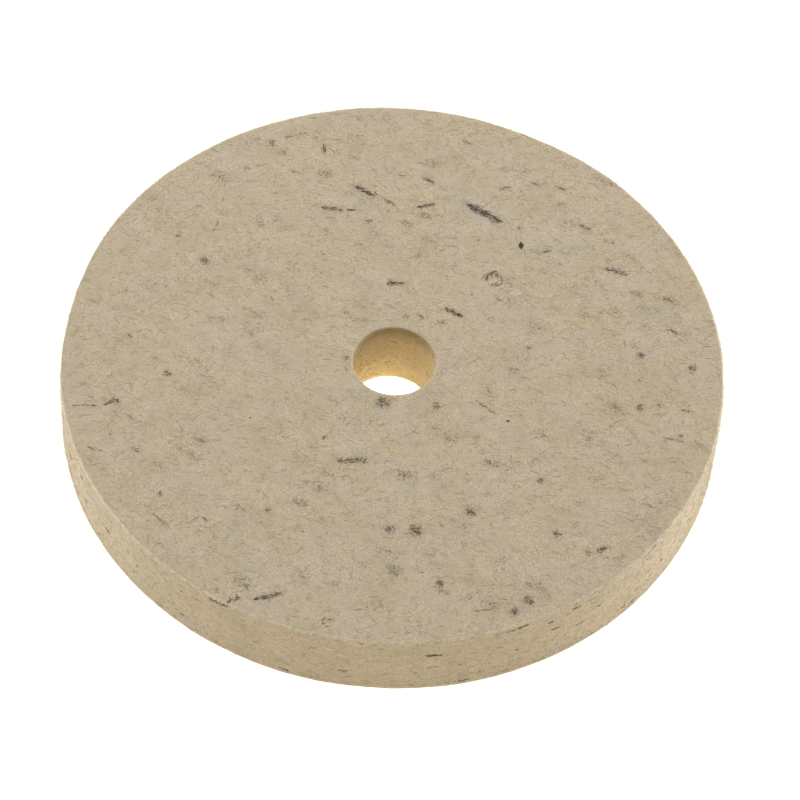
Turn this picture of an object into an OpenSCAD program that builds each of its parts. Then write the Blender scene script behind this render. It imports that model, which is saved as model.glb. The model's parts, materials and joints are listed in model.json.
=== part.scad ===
// Hard-felt polishing wheel: one solid disc of pressed wool with a plain arbor hole.
// It lies on its lower face. +Z runs up the wheel's axis, and the origin is on that
// axis, in the plane of the lower face.

/* [Wheel] */
// Diameter across the rim, which is the working surface
wheel_d = 101.6; // [50:0.1:200]
// Thickness from face to face
wheel_t = 12.7; // [6:0.1:50]

/* [Arbor hole] */
// Diameter of the plain hole that slides over the arbor
hole_d = 12.7; // [5:0.1:20]

/* [Edges] */
// Radius of the small round where the rim meets each face
rim_round = 0.3; // [0.1:0.1:2]
// Radius of the small round at each mouth of the hole
hole_round = 0.2; // [0.1:0.1:1]

/* [Hidden] */

felt_cream = [0.74, 0.68, 0.57];
corner_flats = 6; // flats that approximate each quarter round
revolve_sides = 180;

wheel_r = wheel_d / 2;
hole_r = hole_d / 2;

// A quarter round, anticlockwise from the angle start
function quarter_round(centre, radius, start) = [
    for (i = [0 : corner_flats])
        let (angle = start + 90 * i / corner_flats)
            centre + radius * [cos(angle), sin(angle)]
];

// Half of the disc's cross-section: radius across, height up
function half_section() = concat(
    quarter_round([hole_r + hole_round, hole_round], hole_round, 180),
    quarter_round([wheel_r - rim_round, rim_round], rim_round, 270),
    quarter_round([wheel_r - rim_round, wheel_t - rim_round], rim_round, 0),
    quarter_round([hole_r + hole_round, wheel_t - hole_round], hole_round, 90)
);

// The whole wheel: pressed and cut from one block, with no bush, flange or ply
module felt_disc() {
    color(felt_cream)
        rotate_extrude($fn = revolve_sides)
            polygon(half_section());
}

felt_disc();
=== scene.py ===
"""Looks for a hard-felt polishing wheel: the pressed wool block, the hairs and seed in it, and a studio."""

import json
import math
import random
from collections import namedtuple
from dataclasses import dataclass

import bmesh
import bpy
import numpy as np
from bpy.props import FloatProperty, FloatVectorProperty, IntProperty, PointerProperty
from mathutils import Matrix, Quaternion, Vector
from mathutils.bvhtree import BVHTree


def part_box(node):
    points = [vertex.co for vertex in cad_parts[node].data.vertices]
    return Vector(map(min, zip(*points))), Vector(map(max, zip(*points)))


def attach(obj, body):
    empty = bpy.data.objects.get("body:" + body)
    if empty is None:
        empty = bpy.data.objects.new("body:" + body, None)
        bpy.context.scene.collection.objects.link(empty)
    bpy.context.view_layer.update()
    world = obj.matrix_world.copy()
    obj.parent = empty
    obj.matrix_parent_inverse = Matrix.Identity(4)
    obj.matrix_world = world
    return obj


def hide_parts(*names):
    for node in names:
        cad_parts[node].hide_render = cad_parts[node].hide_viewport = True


bl_info = {
    "name": "Felt Polishing Wheel",
    "version": (1, 0, 0),
    "blender": (4, 5, 0),
    "location": "3D View > Sidebar > Felt Wheel",
    "description": "Models a hard-felt polishing wheel with its wool nap, stray hairs and seed flecks",
    "category": "Object",
}

MM = 0.001

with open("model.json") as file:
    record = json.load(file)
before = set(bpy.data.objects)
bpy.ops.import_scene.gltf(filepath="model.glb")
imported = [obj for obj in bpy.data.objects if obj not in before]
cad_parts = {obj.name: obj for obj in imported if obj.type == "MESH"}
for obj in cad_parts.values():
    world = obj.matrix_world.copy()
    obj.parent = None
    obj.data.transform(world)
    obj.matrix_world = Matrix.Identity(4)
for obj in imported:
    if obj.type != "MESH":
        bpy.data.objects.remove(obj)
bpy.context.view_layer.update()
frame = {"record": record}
CAD_NODE = "felt_disc"
BODY = "root"
LOW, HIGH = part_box(CAD_NODE)
ARBOR_HOLE = next(m for m in frame["record"]["mounts"] if m["name"] == "arbor_hole")
WHEEL_RADIUS = (HIGH.x - LOW.x) / 2
THICKNESS = HIGH.z - LOW.z
HOLE_RADIUS = ARBOR_HOLE["dims"]["r_mm"] * MM
HOLE_ROUND = (THICKNESS - ARBOR_HOLE["dims"]["length_mm"] * MM) / 2


# --- What a user would change -------------------------------------------------------------


def a_length(name, description, default):
    """A size in metres"""
    return FloatProperty(name=name, description=description, default=default, unit="LENGTH")


def a_colour(name, description, default):
    """A colour, in linear red, green and blue"""
    return FloatVectorProperty(name=name, description=description, default=default, subtype="COLOR")


def a_place(name, description, default):
    """A place in metres"""
    return FloatVectorProperty(name=name, description=description, default=default, subtype="XYZ")


def an_amount(name, description, default):
    """A plain number, such as a power in watts"""
    return FloatProperty(name=name, description=description, default=default)


def a_count(name, description, default):
    """How many"""
    return IntProperty(name=name, description=description, default=default)


class FeltBlockForm(bpy.types.PropertyGroup):
    """Sizes of the pressed wool block"""

    radius: a_length("Wheel radius", "From the axis to the rim", WHEEL_RADIUS)
    thickness: a_length("Thickness", "From face to face", THICKNESS)
    hole_radius: a_length("Hole radius", "Radius of the arbor hole", HOLE_RADIUS)
    rim_round: a_length("Rim round", "Small round along the rim's upper edge", 0.3 * MM)
    lower_round: a_length("Lower round", "Small round along the rim's lower edge", 0.15 * MM)
    hole_round: a_length("Hole round", "Small round at the hole's mouths", HOLE_ROUND)
    hole_lean: a_length("Hole lean", "How far off centre the hole's upper mouth is", 0.3 * MM)
    turns: a_count("Steps round", "Steps that the cross-section is turned in", 480)
    swell: a_length("Swell", "Height of the broad, shallow waves of the faces", 0.16 * MM)
    lumps: a_length("Lumps", "Height of the small lumps of matted wool", 0.10 * MM)
    layers: a_length("Layers", "Depth of the layered streaks on the walls", 0.05 * MM)


class WoolColours(bpy.types.PropertyGroup):
    """Colours of the wool and of what is caught in it"""

    face: a_colour("Faces", "Handled wool of the two faces", (0.548, 0.457, 0.292))
    rim: a_colour("Rim", "Cut wool of the rim", (0.515, 0.420, 0.228))
    # The hole's colour is the wool's own tone with a painted golden glow of light from the table below, far
    # more golden than the faces
    hole: a_colour("Hole", "Golden wool of the hole's wall", (0.880, 0.680, 0.155))
    pale: a_colour("Pale fibre", "Clean wool fibres", (0.640, 0.550, 0.400))
    brown: a_colour("Brown fibre", "Straw and brown fibres", (0.250, 0.180, 0.100))
    smoke: a_colour("Smoke", "Blue-grey smudges of dark wool", (0.140, 0.115, 0.105))
    kemp: a_colour("Kemp", "Near-black kemp hair", (0.060, 0.044, 0.033))


class HairCounts(bpy.types.PropertyGroup):
    """How much loose hair lies on the felt"""

    nap: a_count("Nap hairs", "Fine hairs in each patch of nap", 7000)
    hair_radius: a_length("Hair radius", "Radius of a wool hair", 0.022 * MM)
    strays: a_count("Stray hairs", "Scattered thin brown hairs", 130)


class StudioLook(bpy.types.PropertyGroup):
    """Camera and lights"""

    lens: an_amount("Lens", "Focal length in millimetres", 164.1)
    camera_place: a_place("Camera place", "Where the camera stands", (0, -0.3316, 0.4609))
    camera_aim: a_place("Camera aim", "Where the camera looks", (0.0015, -0.0073, 0.0127))
    roll: FloatProperty(
        name="Roll",
        description="Turn of the camera about its own axis",
        default=math.radians(3.78),
        unit="ROTATION",
    )
    left_power: an_amount("Left light", "Power of the left light in watts", 2.4)
    right_power: an_amount("Right light", "Power of the right light in watts", 4.8)
    top_power: an_amount("Top light", "Power of the overhead light in watts", 4.0)
    sky: an_amount("Sky", "Strength of the light from all round", 0.40)
    table: an_amount("Light table", "Glow of the table under the wheel", 1.24)
    table_colour: a_colour("Table colour", "Slightly warm light of the table", (1.0, 0.93, 0.79))
    hole_glow: an_amount("Hole glow", "Glow of the table under the hole", 1.75)


# --- Shader nodes ---------------------------------------------------------------------------


class Wiring:
    """Adds nodes to one shader tree and joins them up"""

    def __init__(self, tree):
        self.tree = tree

    def feed(self, socket, value):
        if isinstance(value, bpy.types.NodeSocket):
            self.tree.links.new(value, socket)
        else:
            socket.default_value = value

    def node(self, kind, inputs=None, **settings):
        made = self.tree.nodes.new("ShaderNode" + kind)
        for name, value in settings.items():
            setattr(made, name, value)
        for name, value in (inputs or {}).items():
            self.feed(made.inputs[name], value)
        return made

    def math(self, operation, first, second=0.0, clamp=False):
        made = self.node("Math", {0: first, 1: second}, operation=operation, use_clamp=clamp)
        return made.outputs[0]

    def fade(self, value, low, high, start=0.0, end=1.0):
        """start below low, end above high, and a smooth step between"""
        made = self.node(
            "MapRange",
            {"Value": value, "From Min": low, "From Max": high, "To Min": start, "To Max": end},
            interpolation_type="SMOOTHSTEP",
        )
        return made.outputs["Result"]

    def mix(self, share, first, second, blend="MIX"):
        made = self.node("Mix", data_type="RGBA", blend_type=blend)
        self.feed(made.inputs[0], share)
        self.feed(made.inputs[6], first)
        self.feed(made.inputs[7], second)
        return made.outputs[2]

    def noise(self, vector, scale=1.0, detail=2.0, roughness=0.5, distortion=0.0):
        grain = {"Scale": scale, "Detail": detail, "Roughness": roughness, "Distortion": distortion}
        return self.node("TexNoise", {"Vector": vector, **grain})

    def tint(self, base, mask, strength, colour):
        """base, moved towards a colour by a mask times a strength"""
        return self.mix(self.math("MULTIPLY", mask, strength), base, rgba(colour))

    def vector(self, operation, first, second=None):
        """The vector that one step of vector mathematics gives"""
        inputs = {0: first} if second is None else {0: first, 1: second}
        return self.node("VectorMath", inputs, operation=operation).outputs[0]

    def reach(self, x, y):
        """The length of a flat vector"""
        flat = self.node("CombineXYZ", {"X": x, "Y": y}).outputs[0]
        return self.node("VectorMath", {0: flat}, operation="LENGTH").outputs["Value"]

    def group(self, tree, **inputs):
        made = self.tree.nodes.new("ShaderNodeGroup")
        made.node_tree = tree
        for name, value in inputs.items():
            self.feed(made.inputs[name.replace("_", " ")], value)
        return made


def new_effect(name, inputs, outputs):
    """An empty node group with named sockets, its wiring, and its input and output nodes"""
    tree = bpy.data.node_groups.new(name, "ShaderNodeTree")
    for label, kind, default in inputs:
        socket = tree.interface.new_socket(name=label, in_out="INPUT", socket_type="NodeSocket" + kind)
        if default is not None:
            socket.default_value = default
    for label, kind in outputs:
        tree.interface.new_socket(name=label, in_out="OUTPUT", socket_type="NodeSocket" + kind)
    given = tree.nodes.new("NodeGroupInput").outputs
    return tree, Wiring(tree), given, tree.nodes.new("NodeGroupOutput")


def rgba(colour):
    return (*colour, 1.0)


def millimetres(wires):
    """Object coordinates in millimetres"""
    place = wires.node("TexCoord").outputs["Object"]
    per_metre = (1 / MM, 1 / MM, 1 / MM)
    scaled = wires.node("Mapping", {"Vector": place, "Scale": per_metre}, vector_type="POINT")
    return scaled.outputs["Vector"]


def patchy_tone():
    """Soft patches of warmer, cooler, lighter and darker wool"""
    tree, wires, given, out = new_effect(
        "Patchy tone",
        [("Vector", "Vector", None), ("Size", "Float", 6.0), ("Flatness", "Float", 3.0)],
        [("Shade", "Float"), ("Warmth", "Float")],
    )
    scale = wires.math("DIVIDE", 1.0, given["Size"])
    squash = wires.node("CombineXYZ", {"X": 1.0, "Y": 1.15, "Z": given["Flatness"]})
    flat = wires.vector("MULTIPLY", given["Vector"], squash.outputs[0])
    shade = wires.noise(flat, scale, detail=4.0, roughness=0.6, distortion=0.6)
    moved = wires.vector("ADD", flat, (37.0, 11.0, 5.0))
    warmth = wires.noise(moved, scale, detail=3.0, roughness=0.55, distortion=0.4)
    wires.feed(out.inputs["Shade"], wires.fade(shade.outputs["Fac"], 0.3, 0.7))
    wires.feed(out.inputs["Warmth"], wires.fade(warmth.outputs["Fac"], 0.33, 0.67))
    return tree


def matted_fibres():
    """Crimped fibres that lie flat in layers and cross each other at several headings"""
    tree, wires, given, out = new_effect(
        "Matted fibres",
        [
            ("Vector", "Vector", None),
            ("Length", "Float", 3.0),
            ("Width", "Float", 0.2),
            ("Crimp", "Float", 0.5),
            ("Fineness", "Float", 5.0),
        ],
        [("Strands", "Float"), ("Height", "Float")],
    )
    drift = wires.noise(given["Vector"], 0.8, detail=1.0)
    centred = wires.vector("SUBTRACT", drift.outputs["Color"], (0.5, 0.5, 0.5))
    pulled = wires.node("VectorMath", {0: centred, 3: given["Crimp"]}, operation="SCALE")
    crimped = wires.vector("ADD", given["Vector"], pulled.outputs[0])
    along = wires.math("DIVIDE", 1.0, given["Length"])
    across = wires.math("DIVIDE", 1.0, given["Width"])
    size = wires.node("CombineXYZ", {"X": along, "Y": across, "Z": across}).outputs[0]
    strands = None
    height = None
    for turn, heading in enumerate((-8, 34, -47, 81)):
        moved = (turn * 13.0, turn * 7.0, turn * 3.0)
        turned = (0, 0, math.radians(heading))
        laid = wires.node("Mapping", {"Vector": crimped, "Location": moved, "Rotation": turned})
        stretched = wires.vector("MULTIPLY", laid.outputs[0], size)
        wave = wires.noise(stretched, 1.0, detail=1.0, roughness=0.4).outputs["Fac"]
        off_crest = wires.math("ABSOLUTE", wires.math("SUBTRACT", wave, 0.5))
        fall = wires.math("MULTIPLY", off_crest, wires.math("MULTIPLY", given["Fineness"], 2.0))
        ridge = wires.math("SUBTRACT", 1.0, fall, clamp=True)
        strands = ridge if strands is None else wires.math("MAXIMUM", strands, ridge)
        height = wave if height is None else wires.math("ADD", height, wave)
    wires.feed(out.inputs["Strands"], strands)
    wires.feed(out.inputs["Height"], wires.math("MULTIPLY", height, 0.25))
    return tree


def new_material(name):
    """A material with a Principled BSDF, its wiring and that node"""
    material = bpy.data.materials.new(name)
    material.use_nodes = True
    tree = material.node_tree
    return material, Wiring(tree), tree.nodes["Principled BSDF"]


def dull_finish(shader, sheen=0.3):
    """The even, dry surface that all wool shares, set on the shader's own sockets"""
    shader.inputs["Specular IOR Level"].default_value = 0.15
    shader.inputs["Sheen Weight"].default_value = sheen
    shader.inputs["Sheen Roughness"].default_value = 0.55
    shader.inputs["Sheen Tint"].default_value = (1.0, 0.97, 0.92, 1.0)


def pressed_wool(colours, form, effects):
    """The block's own felt: faces, rim and hole, with patches, matted fibres, smudges and stains"""
    material, wires, shader = new_material("Pressed wool")
    place = millimetres(wires)
    parts = wires.node("SeparateXYZ", {0: place}).outputs
    height = parts["Z"]
    radius = wires.reach(parts["X"], parts["Y"])
    lean = wires.math("MULTIPLY", height, form.hole_lean / form.thickness)
    hole_radius = wires.reach(wires.math("SUBTRACT", parts["X"], lean), parts["Y"])
    rim = form.radius / MM
    hole = form.hole_radius / MM
    top = form.thickness / MM

    on_rim = wires.fade(radius, rim - 0.9, rim - 0.1)
    below_mouth = wires.fade(height, top - 0.40, top - 0.15, 1.0, 0.0)
    in_hole = wires.math("MULTIPLY", wires.fade(hole_radius, hole + 0.2, hole + 0.5, 1.0, 0.0), below_mouth)
    base = wires.mix(on_rim, rgba(colours.face), rgba(colours.rim))
    # In the hole, the wool's colour carries a painted golden glow of light from the table below
    base = wires.mix(in_hole, base, rgba(colours.hole))

    patches = wires.group(effects["patches"], Vector=place, Size=7.0)
    small_patches = wires.group(effects["patches"], Vector=place, Size=1.6)
    blots = wires.group(effects["patches"], Vector=place, Size=4.0, Flatness=1.6)
    for cloudy, tone, strength, colour in (
        (patches, "Shade", 0.34, (0.34, 0.29, 0.18)),
        (patches, "Warmth", 0.72, (0.56, 0.455, 0.40)),
        (small_patches, "Warmth", 0.22, (0.54, 0.47, 0.17)),
        (small_patches, "Shade", 0.16, (0.28, 0.23, 0.15)),
        (blots, "Shade", 0.27, (0.33, 0.25, 0.13)),
        (blots, "Warmth", 0.40, (0.64, 0.46, 0.32)),
    ):
        base = wires.tint(base, cloudy.outputs[tone], strength, colour)

    fine = wires.group(effects["fibres"], Vector=place, Length=1.4, Width=0.26, Crimp=0.5, Fineness=4.0)
    grain = wires.noise(place, 3.4, detail=3.0, roughness=0.65, distortion=0.8).outputs["Fac"]
    base = wires.tint(base, fine.outputs["Strands"], 0.33, colours.pale)
    base = wires.mix(wires.fade(grain, 0.40, 0.66, 0.0, 0.24), base, (0.27, 0.215, 0.14, 1))
    loose_wool = wires.fade(blots.outputs["Warmth"], 0.25, 0.85, 0.10, 0.42)
    speckle = wires.noise(place, 4.6, detail=1.0, roughness=0.6).outputs["Fac"]
    base = wires.tint(base, wires.fade(speckle, 0.52, 0.72), loose_wool, (0.74, 0.66, 0.50))
    base = wires.tint(base, wires.fade(speckle, 0.30, 0.48, 1.0, 0.0), loose_wool, (0.28, 0.22, 0.13))
    fray = wires.fade(speckle, 0.40, 0.58, 1.0, 0.15)
    for name, strength, colour in (
        ("smudge", fray, colours.smoke),
        ("stain", fray, colours.brown),
        ("haze", 0.5, (0.56, 0.49, 0.42)),
    ):
        mask = wires.node("Attribute", attribute_name=name).outputs["Fac"]
        base = wires.tint(base, mask, strength, colour)

    # Painted highlight: a thin, broken pale line along the rim's upper edge, standing in for light catching
    # the rounded corner's fibres
    from_rim = wires.math("SUBTRACT", radius, rim - 0.12)
    from_top = wires.math("SUBTRACT", height, top - 0.12)
    to_edge = wires.reach(from_rim, from_top)
    on_crests = wires.fade(fine.outputs["Height"], 0.4, 0.56, 0.5, 1.0)
    edge_highlight = wires.math("MULTIPLY", wires.fade(grain, 0.36, 0.56, 0.35, 1.0), on_crests)
    base = wires.tint(base, wires.fade(to_edge, 0.08, 0.34, 1.0, 0.0), edge_highlight, (0.80, 0.70, 0.50))
    # Painted shade: the rim's colour is darkened a little towards its lower edge
    base = wires.tint(base, on_rim, wires.fade(height, 0.2, 5.0, 0.08, 0.0), (0.36, 0.27, 0.11))
    # More painted golden glow on the hole's wall
    base = wires.tint(base, in_hole, 0.20, (0.66, 0.47, 0.12))
    # Painted shade: the hole's wall is darkened towards its upper mouth, away from the light of the table
    # below
    base = wires.tint(base, in_hole, wires.fade(height, top - 3.4, top - 0.5, 0.0, 0.62), (0.20, 0.16, 0.07))

    wires.feed(shader.inputs["Base Color"], base)
    wires.feed(shader.inputs["Roughness"], wires.fade(fine.outputs["Height"], 0.35, 0.65, 0.86, 0.98))
    lift = wires.math("ADD", fine.outputs["Height"], wires.math("MULTIPLY", grain, 0.9))
    bump = wires.node("Bump", {"Height": lift, "Strength": 0.55, "Distance": 0.16 * MM})
    wires.feed(shader.inputs["Normal"], bump.outputs["Normal"])
    dull_finish(shader)
    return material


def wool_hair(colours, effects, name, light, dark, sheen=0.2):
    """Fine hairs, each a little different in tone, over the same patches as the felt"""
    material, wires, shader = new_material(name)
    tone = wires.node("Attribute", attribute_name="tone").outputs["Fac"]
    patches = wires.group(effects["patches"], Vector=millimetres(wires), Size=7.0)
    base = wires.mix(tone, rgba(light), rgba(dark))
    base = wires.tint(base, patches.outputs["Shade"], 0.15, (0.30, 0.25, 0.18))
    wires.feed(shader.inputs["Base Color"], base)
    wires.feed(shader.inputs["Roughness"], wires.fade(tone, 0.0, 1.0, 0.75, 0.92))
    dull_finish(shader, sheen)
    return material


# --- Modelling helpers --------------------------------------------------------------------


def select_in_edit(piece, domain, test):
    """Selects the vertices, edges or faces that pass a test, and nothing else"""
    modes = {"verts": (True, False, False), "edges": (False, True, False), "faces": (False, False, True)}
    bpy.context.tool_settings.mesh_select_mode = modes[domain]
    bpy.ops.mesh.select_all(action="DESELECT")
    shape = bmesh.from_edit_mesh(piece.data)
    for part in getattr(shape, domain):
        part.select_set(test(part))
    if domain == "faces":
        shape.select_flush(True)
    bmesh.update_edit_mesh(piece.data)


def only(piece):
    """Makes piece the one selected and active object"""
    bpy.ops.object.select_all(action="DESELECT")
    piece.select_set(True)
    bpy.context.view_layer.objects.active = piece


def press_relief(piece, name, size, depth, stretch=(1, 1, 1), group=""):
    """Presses a cloudy relief of that grain size and depth into the piece"""
    bpy.ops.object.empty_add(type="PLAIN_AXES")
    ruler = bpy.context.object
    ruler.scale = stretch
    bpy.context.view_layer.update()
    pattern = bpy.data.textures.new(name, "CLOUDS")
    pattern.noise_scale = size
    pattern.noise_depth = 2
    only(piece)
    bpy.ops.object.modifier_add(type="DISPLACE")
    relief = piece.modifiers[-1]
    relief.texture = pattern
    relief.texture_coords = "OBJECT"
    relief.texture_coords_object = ruler
    relief.strength = depth
    relief.mid_level = 0.5
    relief.vertex_group = group
    bpy.ops.object.modifier_apply(modifier=relief.name)
    bpy.data.objects.remove(ruler)


def settle(piece):
    """Puts a finished piece on the wheel's body"""
    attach(piece, BODY)


# --- The pressed wool block -----------------------------------------------------------------


class FELT_OT_block(bpy.types.Operator):
    """Turn the block of pressed wool from half a cross-section"""

    bl_idname = "felt.block"
    bl_label = "Pressed wool block"

    def execute(self, context):
        form = context.scene.felt_form
        block = self.draw_half_section(form)
        self.divide_outline(block, form)
        self.turn(block, form)
        self.roughen(block, form)
        paint_smudges(block, form)
        lay_out_bake(block, form)
        block.data.materials.append(bpy.data.materials["Pressed wool"])
        settle(block)
        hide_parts(CAD_NODE)
        return {"FINISHED"}

    def draw_half_section(self, form):
        """The outline of half the cross-section, with its four rounded corners"""
        width = form.radius - form.hole_radius
        bpy.ops.object.select_all(action="DESELECT")
        bpy.ops.mesh.primitive_plane_add(
            size=1,
            location=(form.hole_radius + width / 2, 0, form.thickness / 2),
            rotation=(math.radians(90), 0, 0),
        )
        block = bpy.context.object
        block.name = "pressed_wool_block"
        block.scale = (width, form.thickness, 1)
        bpy.ops.object.transform_apply(location=True, rotation=True, scale=True)
        bpy.ops.object.mode_set(mode="EDIT")
        middle = form.hole_radius + width / 2
        half = form.thickness / 2
        select_in_edit(block, "verts", lambda v: v.co.x > middle and v.co.z > half)
        bpy.ops.mesh.bevel(offset=form.rim_round, segments=5, affect="VERTICES")
        select_in_edit(block, "verts", lambda v: v.co.x > middle and v.co.z < half / 4)
        bpy.ops.mesh.bevel(offset=form.lower_round, segments=3, affect="VERTICES")
        select_in_edit(block, "verts", lambda v: v.co.x < form.hole_radius + form.hole_round / 4)
        bpy.ops.mesh.bevel(offset=form.hole_round, segments=5, affect="VERTICES")
        select_in_edit(block, "faces", lambda f: True)
        bpy.ops.mesh.delete(type="ONLY_FACE")
        return block

    def divide_outline(self, block, form):
        """Cuts the outline's long straight edges into short ones, finer where more is seen"""
        middle = form.hole_radius + (form.radius - form.hole_radius) / 2
        half = form.thickness / 2
        runs = (
            (88, lambda a, b: min(a.z, b.z) > half and abs(a.x - b.x) > form.radius / 2),
            (34, lambda a, b: max(a.z, b.z) < half and abs(a.x - b.x) > form.radius / 2),
            (22, lambda a, b: min(a.x, b.x) > middle and abs(a.z - b.z) > half),
            (18, lambda a, b: max(a.x, b.x) < middle and abs(a.z - b.z) > half),
        )
        for cuts, is_run in runs:
            select_in_edit(block, "edges", lambda e: is_run(e.verts[0].co, e.verts[1].co))
            bpy.ops.mesh.subdivide(number_cuts=cuts)

    def turn(self, block, form):
        """Turns the outline once round the axis and closes the seam"""
        select_in_edit(block, "edges", lambda e: True)
        bpy.ops.mesh.spin(steps=form.turns, angle=math.tau, center=(0, 0, 0), axis=(0, 0, 1))
        bpy.ops.mesh.select_all(action="SELECT")
        bpy.ops.mesh.remove_doubles(threshold=0.01 * MM)
        bpy.ops.mesh.normals_make_consistent(inside=False)
        bpy.ops.object.mode_set(mode="OBJECT")

    def roughen(self, block, form):
        """Gives the turned block the uneven surface of real felt"""
        only(block)
        walls = block.vertex_groups.new(name="walls")
        inner = form.hole_radius + form.hole_round / 2
        outer = form.radius - form.rim_round / 2
        on_wall = [
            v.index for v in block.data.vertices if not inner < math.hypot(v.co.x, v.co.y) < outer
        ]
        walls.add(on_wall, 1.0, "REPLACE")
        press_relief(block, "Swell", 9 * MM, form.swell)
        press_relief(block, "Lumps", 1.7 * MM, form.lumps)
        press_relief(block, "Layers", 1.0 * MM, form.layers, stretch=(4.5, 4.5, 0.9), group="walls")
        block.vertex_groups.clear()
        for azimuth, depth in RIM_FLATS:
            self.flatten_rim(block, form, azimuth, depth)
        self.lean_hole(block, form)
        only(block)
        bpy.ops.object.shade_smooth()

    def flatten_rim(self, block, form, azimuth, depth):
        """Pushes the rim in a little round one azimuth, as the cutter left it"""
        inward = Vector((-math.cos(azimuth), -math.sin(azimuth), 0))
        bpy.ops.object.mode_set(mode="EDIT")
        crest = -inward * form.radius
        select_in_edit(block, "verts", lambda v: (v.co.xy - crest.xy).length < 2 * MM)
        bpy.ops.transform.translate(
            value=inward * depth,
            use_proportional_edit=True,
            proportional_edit_falloff="SMOOTH",
            proportional_size=18 * MM,
        )
        bpy.ops.object.mode_set(mode="OBJECT")

    def lean_hole(self, block, form):
        """Draws the hole's upper mouth a little off centre, as the drill wandered"""
        bpy.ops.object.mode_set(mode="EDIT")
        edge = form.hole_radius + form.hole_round * 1.5
        floor = form.thickness - form.hole_round * 1.5
        select_in_edit(block, "verts", lambda v: v.co.z > floor and v.co.xy.length < edge)
        bpy.ops.transform.translate(
            value=(form.hole_lean, 0, 0),
            use_proportional_edit=True,
            proportional_edit_falloff="LINEAR",
            proportional_size=form.thickness,
        )
        bpy.ops.object.mode_set(mode="OBJECT")


# Azimuth from +X, and depth, of the places where the rim falls a little short of a true circle
RIM_FLATS = ((math.radians(173), 0.5 * MM), (math.radians(68), 0.3 * MM))

# Kinds of dark mark in the wool. Width is a share of the mark's length, hairs are counted per square
# millimetre, and tone runs from 0 (near black) to 1 (brown). Smoke and stain say how deeply the felt
# under the mark is coloured. The last three are how many are strewn on a face, and how long they are.
MarkKind = namedtuple("MarkKind", "width hairs tone smoke stain strewn shortest longest")
KINDS = {
    "streak": MarkKind(0.20, 13, 0.05, 0.65, 0.38, 1, 3.0, 4.5),
    "dash": MarkKind(0.22, 8, 0.30, 0.22, 0.36, 14, 0.9, 2.4),
    "blot": MarkKind(0.65, 15, 0.15, 0.30, 0.36, 9, 0.7, 1.6),
    "tangle": MarkKind(0.50, 5, 0.40, 0.18, 0.30, 16, 1.3, 3.0),
    "wisp": MarkKind(0.45, 2.5, 0.65, 0.05, 0.22, 26, 1.2, 3.2),
    "thread": MarkKind(0.08, 7, 0.35, 0.00, 0.22, 9, 1.5, 4.5),
    "trace": MarkKind(0.50, 2.2, 0.80, 0.00, 0.20, 150, 1.0, 3.2),
}

# The marks that stand out on the upper face: kind, x, y and length in millimetres, heading in degrees
MAIN_MARKS = (
    ("streak", 13, 30, 7, -30),
    ("streak", -6, 33, 4, -30),
    ("dash", -11, 29, 4, -5),
    ("dash", -5, -19, 5, 5),
    ("streak", 9, 10, 3.5, -25),
    ("dash", -16, -44, 4.5, 20),
    ("dash", -42, -11, 3, 25),
    ("dash", 34, 20, 4, -15),
    ("dash", 4, 36, 2.5, -35),
    ("dash", -2, 31, 2.5, -30),
    ("dash", -8, 29, 2, 0),
    ("dash", -5, 27, 1.5, 0),
    ("dash", 25, 36, 2, -20),
    ("dash", 23, 23, 2, 20),
    ("dash", 45, -6, 1.5, 0),
    ("dash", 33, -32, 2, 0),
    ("dash", -21, -45, 2.5, 30),
    ("dash", -13, 41, 2.5, -80),
    ("streak", 0, 15, 2.5, 0),
    ("blot", -1, 15, 1.5, -5),
    ("blot", -1, -8, 2.5, -30),
    ("blot", 13, -27, 2, -20),
    ("blot", -30, 17, 2, -20),
    ("blot", 38, 4, 1.5, -20),
    ("blot", 46, 2, 1.5, 0),
    ("blot", 7, -8, 1.5, -60),
    ("blot", 26, -30, 1.5, 0),
    ("blot", 22, -42, 2, -45),
    ("blot", 20, -44, 1.5, -75),
    ("blot", 9, -40, 1.5, -65),
    ("blot", 1, -31, 1.5, -85),
    ("blot", 5, -31, 2.5, -50),
    ("blot", -17, -29, 1, -20),
    ("blot", -34, -5, 1.5, -20),
    ("blot", 38, -6, 1.5, -60),
    ("tangle", 15, 18, 2, -10),
    ("tangle", -20, -42, 3.5, -40),
    ("tangle", 3, -21, 3, -10),
    ("tangle", 16, -18, 2.5, -10),
    ("tangle", 22, -39, 2, -90),
    ("tangle", 17, -43, 2, 0),
    ("tangle", 2, -38, 3, -45),
    ("tangle", 1, 27, 2, -25),
    ("tangle", -28, -17, 2.5, -15),
    ("tangle", -22, 25, 1.5, -50),
    ("wisp", 22, 8, 3.5, 0),
    ("wisp", 17, 13, 3.5, -10),
    ("wisp", 33, 12, 3, 10),
    ("wisp", 32, 38, 3.5, -20),
    ("wisp", -29, 34, 3.5, -20),
    ("thread", -29, 24, 3, 75),
    ("thread", -46, -12, 4, 5),
)

# Pale, cool hazes under the upper face: x, y, length and heading as above, width, and depth from 0 to 1
HAZES = (
    (24, 25, 11, 10, 8, 0.5),
    (13, 30, 11, -30, 5, 0.6),
    (-17, -42, 8, 10, 5, 0.35),
    (-44, 6, 6, 80, 4, 0.25),
    (3, -24, 8, 0, 5, 0.3),
)

UPPER_SEED = 41
LOWER_SEED = 42
CLOUD_SEED = 43
CLOUDS = 14


def strewn_marks(form, seed):
    """Marks that lie on a face by chance, each as a row of MAIN_MARKS"""
    dice = random.Random(seed)
    marks = []
    for name, kind in KINDS.items():
        for _ in range(kind.strewn):
            place = on_face(form, dice, 0.0, 1.5 * MM) / MM
            length = dice.uniform(kind.shortest, kind.longest)
            marks.append((name, place.x, place.y, length, dice.gauss(-12, 26)))
    return marks


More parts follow.
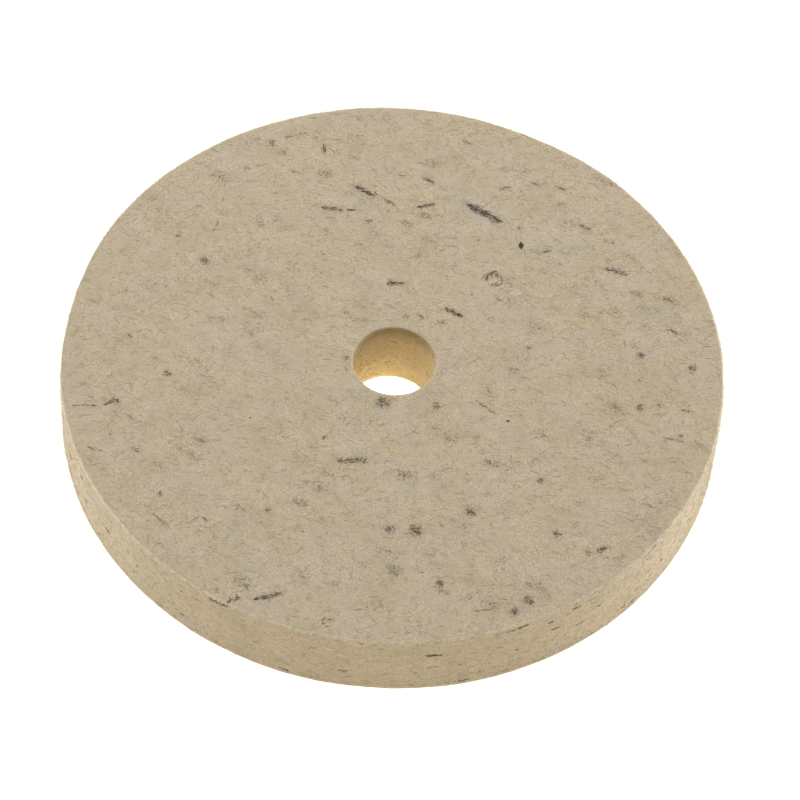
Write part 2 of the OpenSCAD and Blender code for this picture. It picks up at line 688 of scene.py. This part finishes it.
def strewn_clouds(form, seed):
    """Broad, faint smudges that lie under the upper face by chance, each as a row of HAZES"""
    dice = random.Random(seed)
    clouds = []
    for _ in range(CLOUDS):
        place = on_face(form, dice, 0.0, 3 * MM) / MM
        length = dice.uniform(4, 9)
        width = length * dice.uniform(0.3, 0.5)
        clouds.append((place.x, place.y, length, dice.gauss(-12, 30), width, dice.uniform(0.12, 0.24)))
    return clouds


def paint_smudges(block, form):
    """Paints the smudges, stains and hazes of the upper face into vertex attributes"""
    count = len(block.data.vertices)
    place = np.empty(count * 3, np.float32)
    block.data.vertices.foreach_get("co", place)
    place = place.reshape(-1, 3) / MM
    on_top = place[:, 2] > form.thickness / MM - 1.0
    smoke = strewn_clouds(form, CLOUD_SEED)
    stain = []
    for name, x, y, length, heading in (*MAIN_MARKS, *strewn_marks(form, UPPER_SEED)):
        kind = KINDS[name]
        blur = (x, y, 1.15 * length, heading, max(1.3 * kind.width * length, 0.8))
        smoke.append((*blur, kind.smoke))
        stain.append((*blur, kind.stain))
    for name, blurs in (("smudge", smoke), ("stain", stain), ("haze", HAZES)):
        dark = np.zeros(count, np.float32)
        for x, y, length, heading, width, depth in blurs:
            turn = math.radians(heading)
            dx, dy = place[:, 0] - x, place[:, 1] - y
            along = (dx * math.cos(turn) + dy * math.sin(turn)) / (length / 2)
            across = (dy * math.cos(turn) - dx * math.sin(turn)) / (width / 2)
            dark = np.maximum(dark, depth * np.exp(-(along**4 + across**2)) * on_top)
        layer = block.data.attributes.new(name, "FLOAT", "POINT")
        layer.data.foreach_set("value", dark.astype(np.float32))


def lay_out_bake(block, form):
    """A texture map with most of its room for the upper face and the rim

    The upper face is a disc at the top left and the lower face a smaller one at the bottom right. The
    rim is cut into three strips along the bottom, and the hole's wall is a strip at the right.
    """
    mesh = block.data
    layer = mesh.uv_layers.new(name="OFBake")
    corners = np.empty(len(mesh.loops), np.int32)
    mesh.loops.foreach_get("vertex_index", corners)
    place = np.empty(len(mesh.vertices) * 3, np.float32)
    mesh.vertices.foreach_get("co", place)
    place = place.reshape(-1, 3)[corners] / MM
    radius = np.hypot(place[:, 0], place[:, 1])
    totals = np.empty(len(mesh.polygons), np.int32)
    mesh.polygons.foreach_get("loop_total", totals)
    owner = np.repeat(np.arange(len(totals)), totals)

    def mean(values):
        return (np.bincount(owner, values) / totals)[owner]

    top = form.thickness / MM
    rim, hole = form.radius / MM, form.hole_radius / MM
    middle_radius, middle_height = mean(radius), mean(place[:, 2])
    on_rim = (middle_radius > rim - 0.45) & (middle_height > 0.2) & (middle_height < top - 0.2)
    in_hole = (middle_radius < hole + 0.3) & ~on_rim
    upper = (middle_height > top / 2) & ~on_rim & ~in_hole
    lower = ~upper & ~on_rim & ~in_hole

    uv = np.zeros((len(corners), 2), np.float32)
    upper_scale, lower_scale = 0.352 / (rim + 0.4), 0.136 / (rim + 0.4)
    uv[upper] = (0.357, 0.643) + place[upper, :2] * upper_scale
    uv[lower] = (0.858, 0.140) + place[lower, :2] * lower_scale
    angle = np.arctan2(place[:, 1], place[:, 0]) / math.tau % 1.0
    middle_x, middle_y = mean(np.cos(angle * math.tau)), mean(np.sin(angle * math.tau))
    middle_angle = np.arctan2(middle_y, middle_x) / math.tau % 1.0
    near = angle + np.round(middle_angle - angle)
    strip = np.minimum(np.floor(middle_angle * 3), 2)
    uv[on_rim, 0] = (0.006 + (near * 3 - strip) * 0.70)[on_rim]
    uv[on_rim, 1] = (0.010 + strip * 0.093 + place[:, 2] / top * 0.080)[on_rim]
    uv[in_hole, 0] = (0.74 + place[:, 2] / top * 0.09)[in_hole]
    uv[in_hole, 1] = (0.32 + near * 0.28)[in_hole]
    layer.data.foreach_set("uv", uv.ravel())


# --- Hairs ------------------------------------------------------------------------------------


@dataclass
class Hair:
    """One hair to lay on the felt: where it starts, its heading, how it bends and how it stands off"""

    start: Vector
    heading: Vector
    length: float
    radius: float
    curl: float = 0.0
    lift: float = 0.0
    rise: float = 0.0
    tone: float = 0.5
    wander: float = 0.0


def walk(surface, hair, steps, dice):
    """Points along a hair as it is laid over the felt, with the side and normal at each"""
    spot, normal, _, _ = surface.find_nearest(hair.start)
    heading = (hair.heading - normal * hair.heading.dot(normal)).normalized()
    stride = hair.length / steps
    points, sides, normals = [], [], []
    for step in range(steps + 1):
        points.append(spot + normal * (hair.lift + hair.rise * step / steps))
        sides.append(normal.cross(heading))
        normals.append(normal)
        turn = hair.curl / steps + dice.uniform(-hair.wander, hair.wander)
        heading = Quaternion(normal, turn) @ heading
        spot, normal, _, _ = surface.find_nearest(spot + heading * stride)
        heading = (heading - normal * heading.dot(normal)).normalized()
    return points, sides, normals


def lay_hairs(name, surface, hairs, material, steps=4, sides=3, seed=1):
    """One piece made of many closed, tapered hairs that follow the felt's surface"""
    dice = random.Random(seed)
    walked = [walk(surface, hair, steps, dice) for hair in hairs]
    spine = np.array([w[0] for w in walked], np.float32)
    side = np.array([w[1] for w in walked], np.float32)
    normal = np.array([w[2] for w in walked], np.float32)
    radius = np.array([hair.radius for hair in hairs], np.float32)
    count, rings = len(hairs), steps + 1
    taper = 0.35 + 0.65 * np.sin(np.linspace(0.15, math.pi - 0.15, rings))
    around = np.arange(sides) * math.tau / sides + math.pi / 2
    reach = (radius[:, None] * taper)[:, :, None, None]
    ring = side[:, :, None] * np.cos(around)[:, None] + normal[:, :, None] * np.sin(around)[:, None]
    verts = (spine[:, :, None] + ring * reach).reshape(-1, 3)

    own = np.arange(rings * sides).reshape(rings, sides)
    following = np.roll(own, -1, axis=1)
    quads = np.stack([own[:-1], following[:-1], following[1:], own[1:]], axis=-1).reshape(-1, 4)
    first = np.arange(count)[:, None, None] * rings * sides
    all_quads = (quads[None] + first).reshape(-1, 4)
    near_caps = (own[0, ::-1][None] + first[:, 0]).reshape(-1, sides)
    far_caps = (own[-1][None] + first[:, 0]).reshape(-1, sides)

    mesh = bpy.data.meshes.new(name)
    mesh.from_pydata(verts.tolist(), [], all_quads.tolist() + near_caps.tolist() + far_caps.tolist())
    tone = np.repeat([hair.tone for hair in hairs], rings * sides).astype(np.float32)
    mesh.attributes.new("tone", "FLOAT", "POINT").data.foreach_set("value", tone)
    give_each_hair_a_cell(mesh, count, rings, sides)
    mesh.update()
    piece = bpy.data.objects.new(name, mesh)
    bpy.context.scene.collection.objects.link(piece)
    only(piece)
    bpy.ops.object.mode_set(mode="EDIT")
    bpy.ops.mesh.select_all(action="SELECT")
    bpy.ops.mesh.normals_make_consistent(inside=False)
    bpy.ops.object.mode_set(mode="OBJECT")
    bpy.ops.object.shade_smooth()
    mesh.materials.append(material)
    settle(piece)
    return piece


def give_each_hair_a_cell(mesh, count, rings, sides):
    """A texture map in which each hair has a square cell of its own"""
    cells = math.ceil(math.sqrt(count))
    corners = np.empty(len(mesh.loops), np.int32)
    mesh.loops.foreach_get("vertex_index", corners)
    owner = corners // (rings * sides)
    along = corners % (rings * sides) // sides / (rings - 1)
    across = corners % sides / max(sides - 1, 1)
    uv = np.empty((len(corners), 2), np.float32)
    uv[:, 0] = (owner % cells + 0.15 + 0.7 * along) / cells
    uv[:, 1] = (owner // cells + 0.15 + 0.7 * across) / cells
    mesh.uv_layers.new(name="OFBake").data.foreach_set("uv", uv.ravel())


def felt_surface():
    """The finished block's surface, for laying hairs on"""
    block = bpy.data.objects["pressed_wool_block"]
    return BVHTree.FromPolygons(
        [v.co.copy() for v in block.data.vertices], [tuple(p.vertices) for p in block.data.polygons]
    )


def flat_heading(angle):
    return Vector((math.cos(angle), math.sin(angle), 0))


def on_face(form, dice, height, margin=0.3 * MM):
    """A random place on a face, even over its area"""
    inner, outer = form.hole_radius + margin, form.radius - margin
    radius = math.sqrt(dice.uniform(inner**2, outer**2))
    angle = dice.uniform(0, math.tau)
    return Vector((radius * math.cos(angle), radius * math.sin(angle), height))


def on_wall(dice, radius, low, high):
    """A random place on the rim or the hole's wall, and the heading round the wheel there"""
    angle = dice.uniform(0, math.tau)
    place = Vector((radius * math.cos(angle), radius * math.sin(angle), dice.uniform(low, high)))
    return place, Vector((-math.sin(angle), math.cos(angle), 0))


LONG_HAIRS_PER_FACE = 14


class FELT_OT_nap(bpy.types.Operator):
    """Lay the short, fine wool hairs that cover the faces, the rim and the hole"""

    bl_idname = "felt.nap"
    bl_label = "Wool nap"

    def execute(self, context):
        form, counts = context.scene.felt_form, context.scene.felt_hairs
        surface = felt_surface()
        pale = bpy.data.materials["Pale wool hair"]
        straw = bpy.data.materials["Straw wool hair"]
        painted_glow_hair = bpy.data.materials["Golden wool hair"]
        bright = bpy.data.materials["Bright wool hair"]
        top = form.thickness
        faces = (
            ("nap_upper_pale", top, pale, counts.nap, 11),
            ("nap_upper_straw", top, straw, counts.nap, 12),
            ("nap_lower", 0.0, pale, counts.nap // 2, 13),
        )
        for name, height, material, count, seed in faces:
            dice = random.Random(seed)
            hairs = [self.face_hair(form, counts, dice, height) for _ in range(count)]
            lay_hairs(name, surface, hairs, material, seed=seed)
        walls = (
            ("nap_rim", form.radius, pale, counts.nap, 14),
            ("nap_hole", form.hole_radius, painted_glow_hair, counts.nap // 7, 15),
        )
        for name, radius, material, count, seed in walls:
            dice = random.Random(seed)
            hairs = [self.wall_hair(form, counts, dice, radius) for _ in range(count)]
            lay_hairs(name, surface, hairs, material, seed=seed)
        dice = random.Random(16)
        fuzz = [self.fuzz_hair(form, counts, dice) for _ in range(counts.nap)]
        lay_hairs("rim_fuzz", surface, fuzz, pale, seed=16)
        dice = random.Random(17)
        long_hairs = [self.long_hair(dice, Vector((-27 * MM, 12 * MM, top)), 15, 7.5)]
        for height in (top, 0.0):
            for _ in range(LONG_HAIRS_PER_FACE):
                place = on_face(form, dice, height, 4 * MM)
                long_hairs.append(self.long_hair(dice, place, dice.gauss(-8, 40), dice.uniform(2.5, 6)))
        lay_hairs("long_pale_fibres", surface, long_hairs, bright, steps=12, seed=17)
        return {"FINISHED"}

    def long_hair(self, dice, place, heading, length):
        """A long, pale hair on a face, almost straight"""
        return Hair(
            place,
            flat_heading(math.radians(heading)),
            length * MM,
            0.032 * MM,
            curl=dice.gauss(0, 0.5),
            lift=0.015 * MM,
            tone=dice.uniform(0, 0.3),
            wander=0.06,
        )

    def fuzz_hair(self, form, counts, dice):
        """A short, fine hair that stands off the rim or its edges"""
        place, heading = on_wall(dice, form.radius, 0.9 * MM, form.thickness)
        steepness = 0.8
        if dice.random() < 0.3:
            place.z = dice.choice((0.9 * MM, form.thickness))
            steepness = 0.05
        upward = dice.gauss(0, steepness)
        if place.z < 1.5 * MM:
            upward = abs(upward)
        return Hair(
            place,
            heading * dice.choice((-1, 1)) + Vector((0, 0, upward)),
            dice.uniform(0.3, 0.9) * MM,
            counts.hair_radius * dice.uniform(0.5, 0.8),
            curl=dice.gauss(0, 1.2),
            rise=dice.uniform(0.10, 0.38) * MM,
            tone=dice.random(),
            wander=0.3,
        )

    def face_hair(self, form, counts, dice, height):
        return Hair(
            on_face(form, dice, height),
            flat_heading(dice.gauss(0, 0.9)),
            dice.uniform(0.4, 1.6) * MM,
            counts.hair_radius * dice.uniform(0.8, 1.6),
            curl=dice.gauss(0, 1.2),
            lift=dice.uniform(-0.01, 0.02) * MM,
            tone=dice.random(),
            wander=0.45,
        )

    def wall_hair(self, form, counts, dice, radius):
        place, heading = on_wall(dice, radius, 0.1 * MM, form.thickness - 0.1 * MM)
        lean = Vector((0, 0, dice.gauss(0, 0.7)))
        return Hair(
            place,
            heading + lean,
            dice.uniform(0.3, 1.1) * MM,
            counts.hair_radius * dice.uniform(0.8, 1.5),
            curl=dice.gauss(0, 0.8),
            lift=dice.uniform(-0.01, 0.02) * MM,
            tone=dice.random(),
            wander=0.35,
        )


# Marks that stand out on the rim: kind, azimuth from +X in degrees, height and length in millimetres,
# slant in degrees
RIM_MARKS = (
    ("dash", -160, 7, 3, 20),
    ("dash", -117, 12, 3.5, 0),
    ("streak", -80, 9, 3, 0),
    ("streak", -65, 12, 2.5, 0),
    ("dash", -105, 1, 2, 0),
    ("dash", -95, 4, 2, 0),
    ("dash", -75, 1, 2.5, 0),
    ("dash", -55, 11, 2, 0),
)
STREWN_ON_RIM = 110
RIM_KINDS = ("dash", "dash", "thread", "wisp")

# How many short pieces each hair of a mark is laid as
PIECES_PER_HAIR = 2.4

# Two wisps of dyed fibre beside the hole, each a row like those of MAIN_MARKS
RED_FIBRES = (("blot", -7, 0, 1.3, 80), ("blot", -7, -2, 1.1, 60))

# Rings and curls: x, y, how far round the curl goes in turns, diameter, hairs and tone
CURLS = (
    (15, 17, 0.95, 2.7, 40, 0.50),
    (15, 18, 0.60, 1.3, 14, 0.55),
    (3, 8, 0.45, 3.0, 9, 0.6),
    (-7, -48, 0.75, 1.6, 16, 0.30),
    (-13, 40, 0.15, 5.0, 3, 0.3),
    (-27, -32, 0.3, 2.4, 3, 0.45),
)


class FELT_OT_kemp(bpy.types.Operator):
    """Lay the dark kemp hairs: placed marks and curls, strewn marks, strays, then two red wisps"""

    bl_idname = "felt.kemp"
    bl_label = "Kemp hairs"

    def execute(self, context):
        form, counts = context.scene.felt_form, context.scene.felt_hairs
        surface = felt_surface()
        dice = random.Random(21)
        kemp = bpy.data.materials["Kemp hair"]
        placed = []
        top = form.thickness
        for mark in MAIN_MARKS:
            placed += self.face_mark(dice, top, *mark)
        for curl in CURLS:
            placed += self.curl(form, dice, *curl)
        for mark in RIM_MARKS:
            placed += self.rim_mark(form, dice, *mark)
        lay_hairs("kemp_bundles", surface, placed, kemp, steps=5, sides=4, seed=22)
        for name, height, seed in (("kemp_upper", top, UPPER_SEED), ("kemp_lower", 0.0, LOWER_SEED)):
            strewn = []
            for mark in strewn_marks(form, seed):
                strewn += self.face_mark(dice, height, *mark)
            lay_hairs(name, surface, strewn, kemp, steps=4, sides=3, seed=24)
        strewn = []
        for _ in range(STREWN_ON_RIM):
            height = dice.uniform(0.8, form.thickness / MM - 0.5)
            place = (dice.uniform(-180, 180), height, dice.uniform(0.6, 1.9), dice.gauss(0, 5))
            strewn += self.rim_mark(form, dice, dice.choice(RIM_KINDS), *place)
        lay_hairs("kemp_rim", surface, strewn, kemp, steps=4, sides=3, seed=26)
        strays = [self.face_stray(form, dice, form.thickness) for _ in range(counts.strays)]
        strays += [self.face_stray(form, dice, 0.0) for _ in range(counts.strays)]
        strays += [self.wall_stray(form, dice, form.radius) for _ in range(counts.strays)]
        strays += [self.wall_stray(form, dice, form.hole_radius) for _ in range(counts.strays // 5)]
        lay_hairs("kemp_strays", surface, strays, kemp, steps=5, sides=4, seed=23)
        red = []
        for mark in RED_FIBRES:
            red += self.face_mark(dice, top, *mark)
        lay_hairs("red_fibres", surface, red, bpy.data.materials["Red fibre"], seed=25)
        return {"FINISHED"}

    def face_mark(self, dice, height, name, x, y, length, heading):
        """The hairs of one mark on a face"""
        turn = math.radians(heading)
        middle = Vector((x * MM, y * MM, height))
        along, across = flat_heading(turn), flat_heading(turn + math.pi / 2)
        return self.bundle(dice, KINDS[name], middle, along, across, length)

    def rim_mark(self, form, dice, name, azimuth, height, length, slant):
        """The hairs of one mark on the rim"""
        turn, tilt = math.radians(azimuth), math.radians(slant)
        out, round_wheel, up = flat_heading(turn), flat_heading(turn + math.pi / 2), Vector((0, 0, 1))
        along = round_wheel * math.cos(tilt) + up * math.sin(tilt)
        middle = out * form.radius + up * height * MM
        return self.bundle(dice, KINDS[name], middle, along, out.cross(along), length)

    def bundle(self, dice, kind, middle, along, across, length):
        """Short, crimped pieces of hair, packed along a line; a wide, sparse bundle is a loose tangle"""
        width = max(kind.width * length, 0.25)
        count = max(kind.hairs * width * length, 3)
        loose = min(max(width / length * 2.6 - 0.35, 0.0), 1.0)
        hairs = []
        for _ in range(round(count * PIECES_PER_HAIR)):
            piece = min(dice.uniform(0.3, 0.9), length * 0.7)
            run = dice.uniform(-0.5, 0.5) * (length - piece)
            waist = 1 - abs(2 * run / length) ** 3
            side = dice.gauss(0, 0.27) * width * waist
            lay = dice.gauss(0, 0.16 + 0.5 * loose)
            heading = along * math.cos(lay) + across * math.sin(lay)
            centre = middle + (along * run + across * side) * MM
            hairs.append(
                Hair(
                    centre - heading * (piece / 2 * MM),
                    heading,
                    piece * MM,
                    dice.uniform(0.035, 0.065) * (1 - 0.45 * loose) * MM,
                    curl=dice.gauss(0, 0.2 + 1.2 * loose),
                    lift=dice.uniform(-0.045, 0.01) * MM,
                    tone=min(max(kind.tone + dice.gauss(0, 0.18), 0), 1),
                    wander=0.15 + 0.3 * loose,
                )
            )
        return hairs

    def curl(self, form, dice, x, y, turns, diameter, count, tone):
        """Short hairs head to tail round part of a circle"""
        middle = Vector((x, y, 0)) * MM + Vector((0, 0, form.thickness))
        hairs = []
        for _ in range(count):
            angle = dice.uniform(0, turns * math.tau)
            radius = diameter / 2 * MM * dice.gauss(0.92, 0.20)
            arc = dice.uniform(0.4, 1.1)
            hairs.append(
                Hair(
                    middle + flat_heading(angle) * radius,
                    flat_heading(angle + math.pi / 2),
                    arc * radius,
                    dice.uniform(0.03, 0.055) * MM,
                    curl=arc,
                    lift=dice.uniform(-0.02, 0.02) * MM,
                    tone=min(max(tone + dice.gauss(0, 0.15), 0), 1),
                    wander=0.1,
                )
            )
        return hairs

    def face_stray(self, form, dice, height):
        return Hair(
            on_face(form, dice, height),
            flat_heading(dice.gauss(-0.15, 0.6)),
            dice.uniform(0.5, 2.6) * MM,
            dice.uniform(0.02, 0.045) * MM,
            curl=dice.gauss(0, 0.8),
            lift=dice.uniform(-0.03, 0.01) * MM,
            tone=dice.uniform(0.3, 1.0),
            wander=0.2,
        )

    def wall_stray(self, form, dice, radius):
        place, heading = on_wall(dice, radius, 0.4 * MM, form.thickness - 0.4 * MM)
        return Hair(
            place,
            heading + Vector((0, 0, dice.gauss(0, 0.08))),
            dice.uniform(0.3, 1.3) * MM,
            dice.uniform(0.025, 0.05) * MM,
            curl=dice.gauss(0, 0.15),
            lift=dice.uniform(-0.03, 0.01) * MM,
            tone=dice.uniform(0.2, 1.0),
            wander=0.06,
        )


# Thickness of a seed chip in millimetres
CHIP_THICKNESS = 0.22

# Seed chips on the upper face: x, y, long and short size in millimetres, heading in degrees
CHIPS = (
    (19, 24, 1.7, 0.85, 95),
    (18, -10, 0.5, 0.4, -20),
)
STREWN_CHIPS_ON_FACES = 24
STREWN_CHIPS_ON_RIM = 16


class FELT_OT_seed(bpy.types.Operator):
    """Set the seed chips in the felt: one is modelled, then copied"""

    bl_idname = "felt.seed"
    bl_label = "Seed flecks"

    def execute(self, context):
        form = context.scene.felt_form
        surface = felt_surface()
        pattern = self.model_chip()
        dice = random.Random(31)
        chips = []
        for x, y, long, short, heading in CHIPS:
            spot = Vector((x * MM, y * MM, form.thickness))
            forward = flat_heading(math.radians(heading))
            chips.append(self.set_chip(pattern, surface, spot, forward, long, short))
        for _ in range(STREWN_CHIPS_ON_FACES):
            spot = on_face(form, dice, form.thickness if dice.random() < 0.6 else 0.0)
            forward = flat_heading(dice.uniform(0, math.tau))
            long, short = dice.uniform(0.15, 0.35), dice.uniform(0.12, 0.25)
            chips.append(self.set_chip(pattern, surface, spot, forward, long, short))
        for _ in range(STREWN_CHIPS_ON_RIM):
            spot, forward = on_wall(dice, form.radius, 0.6 * MM, form.thickness - 0.6 * MM)
            long, short = dice.uniform(0.15, 0.4), dice.uniform(0.12, 0.2)
            chips.append(self.set_chip(pattern, surface, spot, forward, long, short))
        bpy.data.objects.remove(pattern)
        bpy.ops.object.select_all(action="DESELECT")
        for chip in chips:
            chip.select_set(True)
        bpy.context.view_layer.objects.active = chips[0]
        bpy.ops.object.join()
        flecks = bpy.context.object
        flecks.name = "seed_flecks"
        bpy.ops.object.shade_smooth()
        flecks.data.materials.append(bpy.data.materials["Seed husk"])
        settle(flecks)
        return {"FINISHED"}

    def model_chip(self):
        """A flake of seed husk: a small ball, flattened, pinched at one end and roughened"""
        bpy.ops.object.select_all(action="DESELECT")
        bpy.ops.mesh.primitive_ico_sphere_add(subdivisions=2, radius=0.5)
        chip = bpy.context.object
        chip.name = "seed_chip"
        bpy.ops.object.mode_set(mode="EDIT")
        bpy.ops.mesh.select_all(action="SELECT")
        bpy.ops.transform.vertex_random(offset=0.06, seed=4)
        for end in (-1, 1):
            select_in_edit(chip, "verts", lambda v: v.co.x * end > 0.2)
            bpy.ops.transform.resize(value=(1.1, 0.45, 0.6))
        bpy.ops.object.mode_set(mode="OBJECT")
        return chip

    def set_chip(self, pattern, surface, spot, heading, long, short):
        """A copy of the chip, half sunk in the felt"""
        place, normal, _, _ = surface.find_nearest(spot)
        forward = (heading - normal * heading.dot(normal)).normalized()
        chip = pattern.copy()
        chip.data = pattern.data.copy()
        bpy.context.scene.collection.objects.link(chip)
        across = normal.cross(forward)
        for vertex in chip.data.vertices:
            x, y, z = vertex.co
            flat = forward * (x * long) + across * (y * short)
            vertex.co = place + (flat + normal * (z * CHIP_THICKNESS)) * MM
        return chip


# --- Studio -------------------------------------------------------------------------------------


class FELT_OT_studio(bpy.types.Operator):
    """Set the floor, the lights and the camera"""

    bl_idname = "felt.studio"
    bl_label = "Studio"

    def execute(self, context):
        look = context.scene.felt_studio
        self.lay_floor(look)
        self.hang_lights(look)
        self.fill_sky(context, look)
        self.place_camera(context, look)
        context.scene.view_settings.view_transform = "Standard"
        return {"FINISHED"}

    def lay_floor(self, look):
        bpy.ops.object.select_all(action="DESELECT")
        bpy.ops.mesh.primitive_plane_add(size=12, location=(0, 0, LOW.z - 0.15 * MM))
        floor = bpy.context.object
        floor.name = "studio_floor"
        material, _, shader = new_material("Light table")
        shader.inputs["Base Color"].default_value = (0.16, 0.16, 0.16, 1)
        shader.inputs["Roughness"].default_value = 0.9
        shader.inputs["Specular IOR Level"].default_value = 0.1
        shader.inputs["Emission Color"].default_value = rgba(look.table_colour)
        shader.inputs["Emission Strength"].default_value = look.table
        floor.data.materials.append(material)
        self.light_hole(look)

    def light_hole(self, look):
        """A brighter round window in the table under the hole, a little to the left"""
        bpy.ops.object.select_all(action="DESELECT")
        bpy.ops.mesh.primitive_circle_add(
            vertices=48, radius=HOLE_RADIUS, fill_type="NGON", location=(-2 * MM, 0, LOW.z - 0.1 * MM)
        )
        window = bpy.context.object
        window.name = "table_window"
        material, _, shader = new_material("Table window")
        shader.inputs["Emission Color"].default_value = rgba(look.table_colour)
        shader.inputs["Emission Strength"].default_value = look.hole_glow
        window.data.materials.append(material)

    def hang_lights(self, look):
        lights = (
            ("left_softbox", (-0.75, 0.40, 0.22), (0.5, 0.4), look.left_power),
            ("right_softbox", (0.65, 0.375, 0.16), (0.5, 0.3), look.right_power),
            ("overhead_softbox", (-0.40, 0.30, 0.75), (0.8, 0.5), look.top_power),
        )
        for name, place, size, power in lights:
            bpy.ops.object.light_add(type="AREA", location=place)
            lamp = bpy.context.object
            lamp.name = name
            lamp.data.shape = "RECTANGLE"
            lamp.data.size, lamp.data.size_y = size
            lamp.data.energy = power
            lamp.rotation_euler = (-Vector(place)).to_track_quat("-Z", "Y").to_euler()

    def fill_sky(self, context, look):
        world = bpy.data.worlds.new("Soft sky")
        context.scene.world = world
        world.use_nodes = True
        wires = Wiring(world.node_tree)
        backdrop = world.node_tree.nodes["Background"]
        seen = wires.node("LightPath").outputs["Is Camera Ray"]
        backdrop.inputs["Color"].default_value = (1.0, 1.0, 1.0, 1)
        wires.feed(backdrop.inputs["Strength"], wires.fade(seen, 0.0, 1.0, look.sky, 1.0))

    def place_camera(self, context, look):
        bpy.ops.object.camera_add(location=look.camera_place)
        camera = bpy.context.object
        camera.name = "studio_camera"
        camera.data.lens = look.lens
        camera.data.sensor_width = 36
        camera.data.clip_start = 0.01
        camera.data.clip_end = 20
        sight = Vector(look.camera_aim) - Vector(look.camera_place)
        camera.rotation_mode = "QUATERNION"
        camera.rotation_quaternion = sight.to_track_quat("-Z", "Y") @ Quaternion((0, 0, 1), look.roll)
        context.scene.camera = camera


class FELT_OT_finishes(bpy.types.Operator):
    """Make the wool, hair and seed materials"""

    bl_idname = "felt.finishes"
    bl_label = "Finishes"

    def execute(self, context):
        colours, form = context.scene.felt_colours, context.scene.felt_form
        effects = {"patches": patchy_tone(), "fibres": matted_fibres()}
        pressed_wool(colours, form, effects)
        wool_hair(colours, effects, "Pale wool hair", (0.72, 0.62, 0.46), colours.face)
        wool_hair(colours, effects, "Straw wool hair", colours.face, (0.46, 0.37, 0.23))
        # The hole's hairs carry the same painted golden glow as the hole's wall
        wool_hair(colours, effects, "Golden wool hair", colours.hole, (0.50, 0.35, 0.12))
        wool_hair(colours, effects, "Bright wool hair", (0.86, 0.78, 0.62), (0.76, 0.68, 0.52))
        wool_hair(colours, effects, "Kemp hair", colours.kemp, colours.brown, 0.04)
        wool_hair(colours, effects, "Red fibre", (0.26, 0.05, 0.045), (0.36, 0.16, 0.11), 0.04)
        wool_hair(colours, effects, "Seed husk", (0.050, 0.026, 0.010), (0.13, 0.08, 0.035), 0.0)
        return {"FINISHED"}


class FELT_PT_panel(bpy.types.Panel):
    """Builds the felt wheel, step by step"""

    bl_label = "Felt Wheel"
    bl_idname = "FELT_PT_panel"
    bl_space_type = "VIEW_3D"
    bl_region_type = "UI"
    bl_category = "Felt Wheel"

    def draw(self, context):
        scene = context.scene
        for heading, group in (
            ("Block", scene.felt_form),
            ("Colours", scene.felt_colours),
            ("Hair", scene.felt_hairs),
            ("Studio", scene.felt_studio),
        ):
            box = self.layout.box()
            box.label(text=heading)
            for name in group.__annotations__:
                box.prop(group, name)
        for step in STEPS:
            self.layout.operator(step.bl_idname)


STEPS = (FELT_OT_finishes, FELT_OT_block, FELT_OT_nap, FELT_OT_kemp, FELT_OT_seed, FELT_OT_studio)
GROUPS = {
    "felt_form": FeltBlockForm,
    "felt_colours": WoolColours,
    "felt_hairs": HairCounts,
    "felt_studio": StudioLook,
}


def register():
    for kind in (*GROUPS.values(), *STEPS, FELT_PT_panel):
        bpy.utils.register_class(kind)
    for name, kind in GROUPS.items():
        setattr(bpy.types.Scene, name, PointerProperty(type=kind))


def unregister():
    for name in GROUPS:
        delattr(bpy.types.Scene, name)
    for kind in reversed((*GROUPS.values(), *STEPS, FELT_PT_panel)):
        bpy.utils.unregister_class(kind)


def main():
    register()
    bpy.ops.felt.finishes()
    bpy.ops.felt.block()
    bpy.ops.felt.nap()
    bpy.ops.felt.kemp()
    bpy.ops.felt.seed()
    bpy.ops.felt.studio()


if __name__ == "__main__":
    main()
